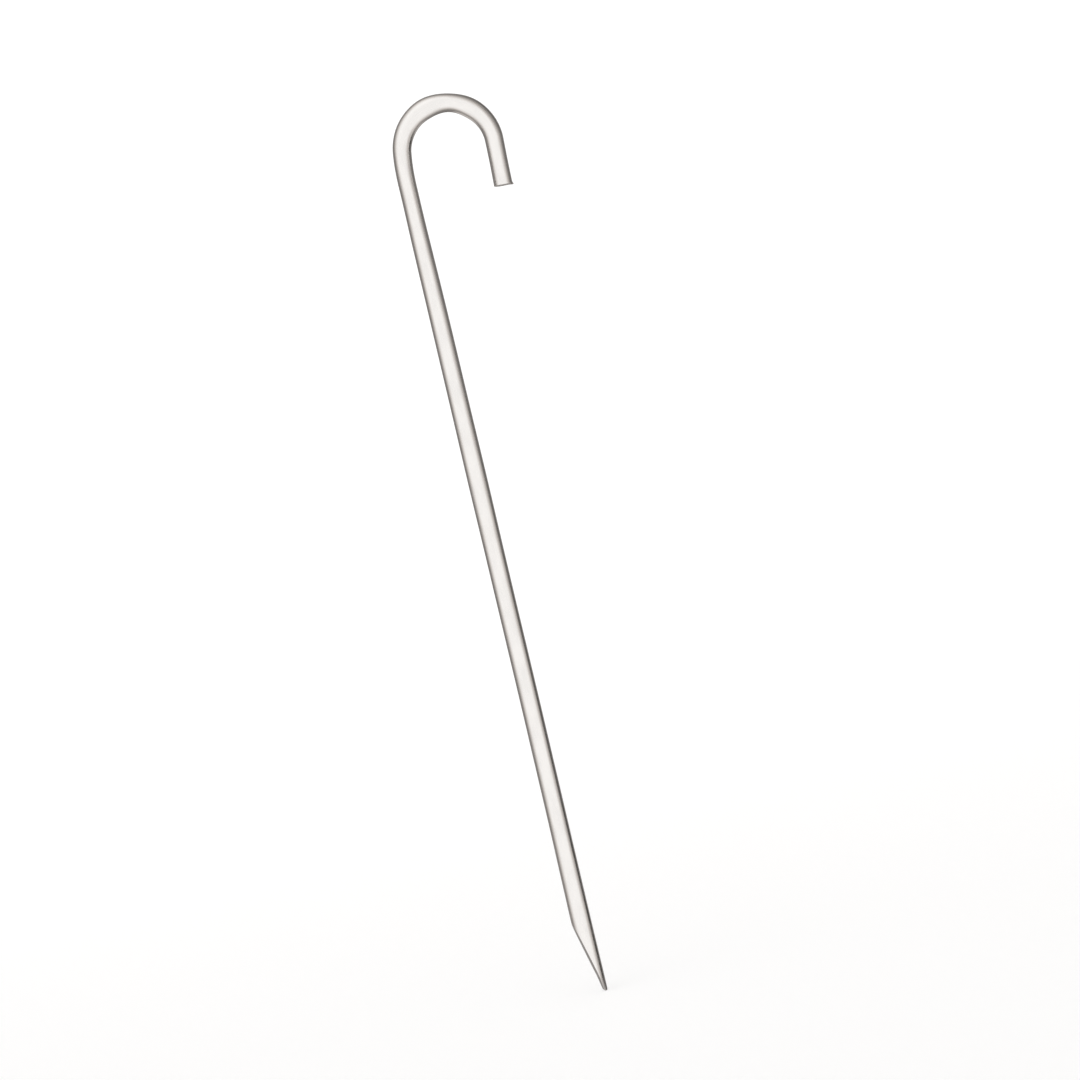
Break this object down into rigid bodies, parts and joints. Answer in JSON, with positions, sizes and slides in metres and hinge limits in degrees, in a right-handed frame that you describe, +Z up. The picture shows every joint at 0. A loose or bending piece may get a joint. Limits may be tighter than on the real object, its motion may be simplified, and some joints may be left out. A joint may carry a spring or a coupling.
{
  "type": "tent stake",
  "caption": "Round steel wire tent stake with an open hook bent over at the top and a slanted, sheared point.",
  "frame": {"origin": "on the shaft's axis at ground level when the stake is driven in, 200 mm above the point", "axes": "+Z up along the straight shaft, +X from the shaft towards the hook's leg, +Y across the plane of the hook"},
  "size_m": [0.0286, 0.0048, 0.2286],
  "materials": {
    "plated_steel": "bright zinc plating on drawn steel wire, smooth and glossy, with faint drawing lines"
  },
  "bodies": {
    "root": {"stake": "plated_steel"}
  },
  "joints": []
}
